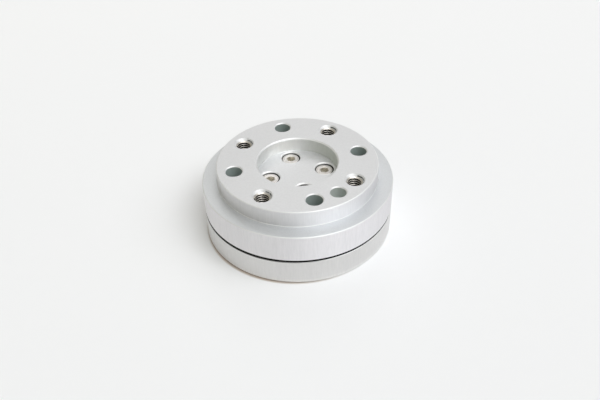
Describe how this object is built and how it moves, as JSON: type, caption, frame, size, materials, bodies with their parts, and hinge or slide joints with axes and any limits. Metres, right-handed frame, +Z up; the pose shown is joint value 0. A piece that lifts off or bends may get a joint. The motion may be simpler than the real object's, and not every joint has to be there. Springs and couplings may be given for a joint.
{
  "type": "six-axis force sensor",
  "caption": "Flat round wrist force sensor: two stacked aluminium discs with a narrow gap, a raised tool face with tapped holes and a centring recess, and a side receptacle.",
  "frame": {"origin": "centre of the mounting pattern on the underside, on the sensor's axis", "axes": "+Z up the sensor's axis towards the tool face; +X and +Y through the plain access holes, with the tapped holes on the diagonals; the receptacle is on the +Y side"},
  "size_m": [0.075, 0.0808, 0.029],
  "materials": {
    "anodised_aluminium": "bead-blasted and clear anodised, matte",
    "machined_aluminium": "milled, bare",
    "stainless_steel": "stainless, satin",
    "insert_steel": "bright drawn stainless wire",
    "black_rubber": "black, soft, matte",
    "gauge_film": "amber polyimide film with foil grid",
    "board_laminate": "green glass-fibre laminate",
    "chip_plastic": "black moulded epoxy",
    "capacitor_body": "tan ceramic",
    "nickel_plate": "nickel-plated, satin",
    "black_plastic": "black, moulded",
    "gold_contact": "gold-plated, bright",
    "wire_insulation": "extruded insulation"
  },
  "bodies": {
    "root": {"tool_flange": "anodised_aluminium", "base_housing": "anodised_aluminium", "elastic_element": "machined_aluminium", "hub_screws": "stainless_steel", "ring_screws": "stainless_steel", "hub_dowels": "stainless_steel", "ring_dowels": "stainless_steel", "tool_thread_inserts": "insert_steel", "base_thread_inserts": "insert_steel", "gap_seal": "black_rubber", "bending_gauges": "gauge_film", "side_gauges": "gauge_film", "solder_tabs": "board_laminate", "bottom_cover": "anodised_aluminium", "cover_seal": "black_rubber", "cover_screws": "stainless_steel", "circuit_board": "board_laminate", "board_screws": "stainless_steel", "processor_chip": "chip_plastic", "converter_chips": "chip_plastic", "board_capacitors": "capacitor_body", "connector_shell": "nickel_plate", "connector_insulator": "black_plastic", "connector_contacts": "gold_contact", "connector_gasket": "black_rubber", "wire_header": "black_plastic", "signal_wires": "wire_insulation"}
  },
  "joints": []
}
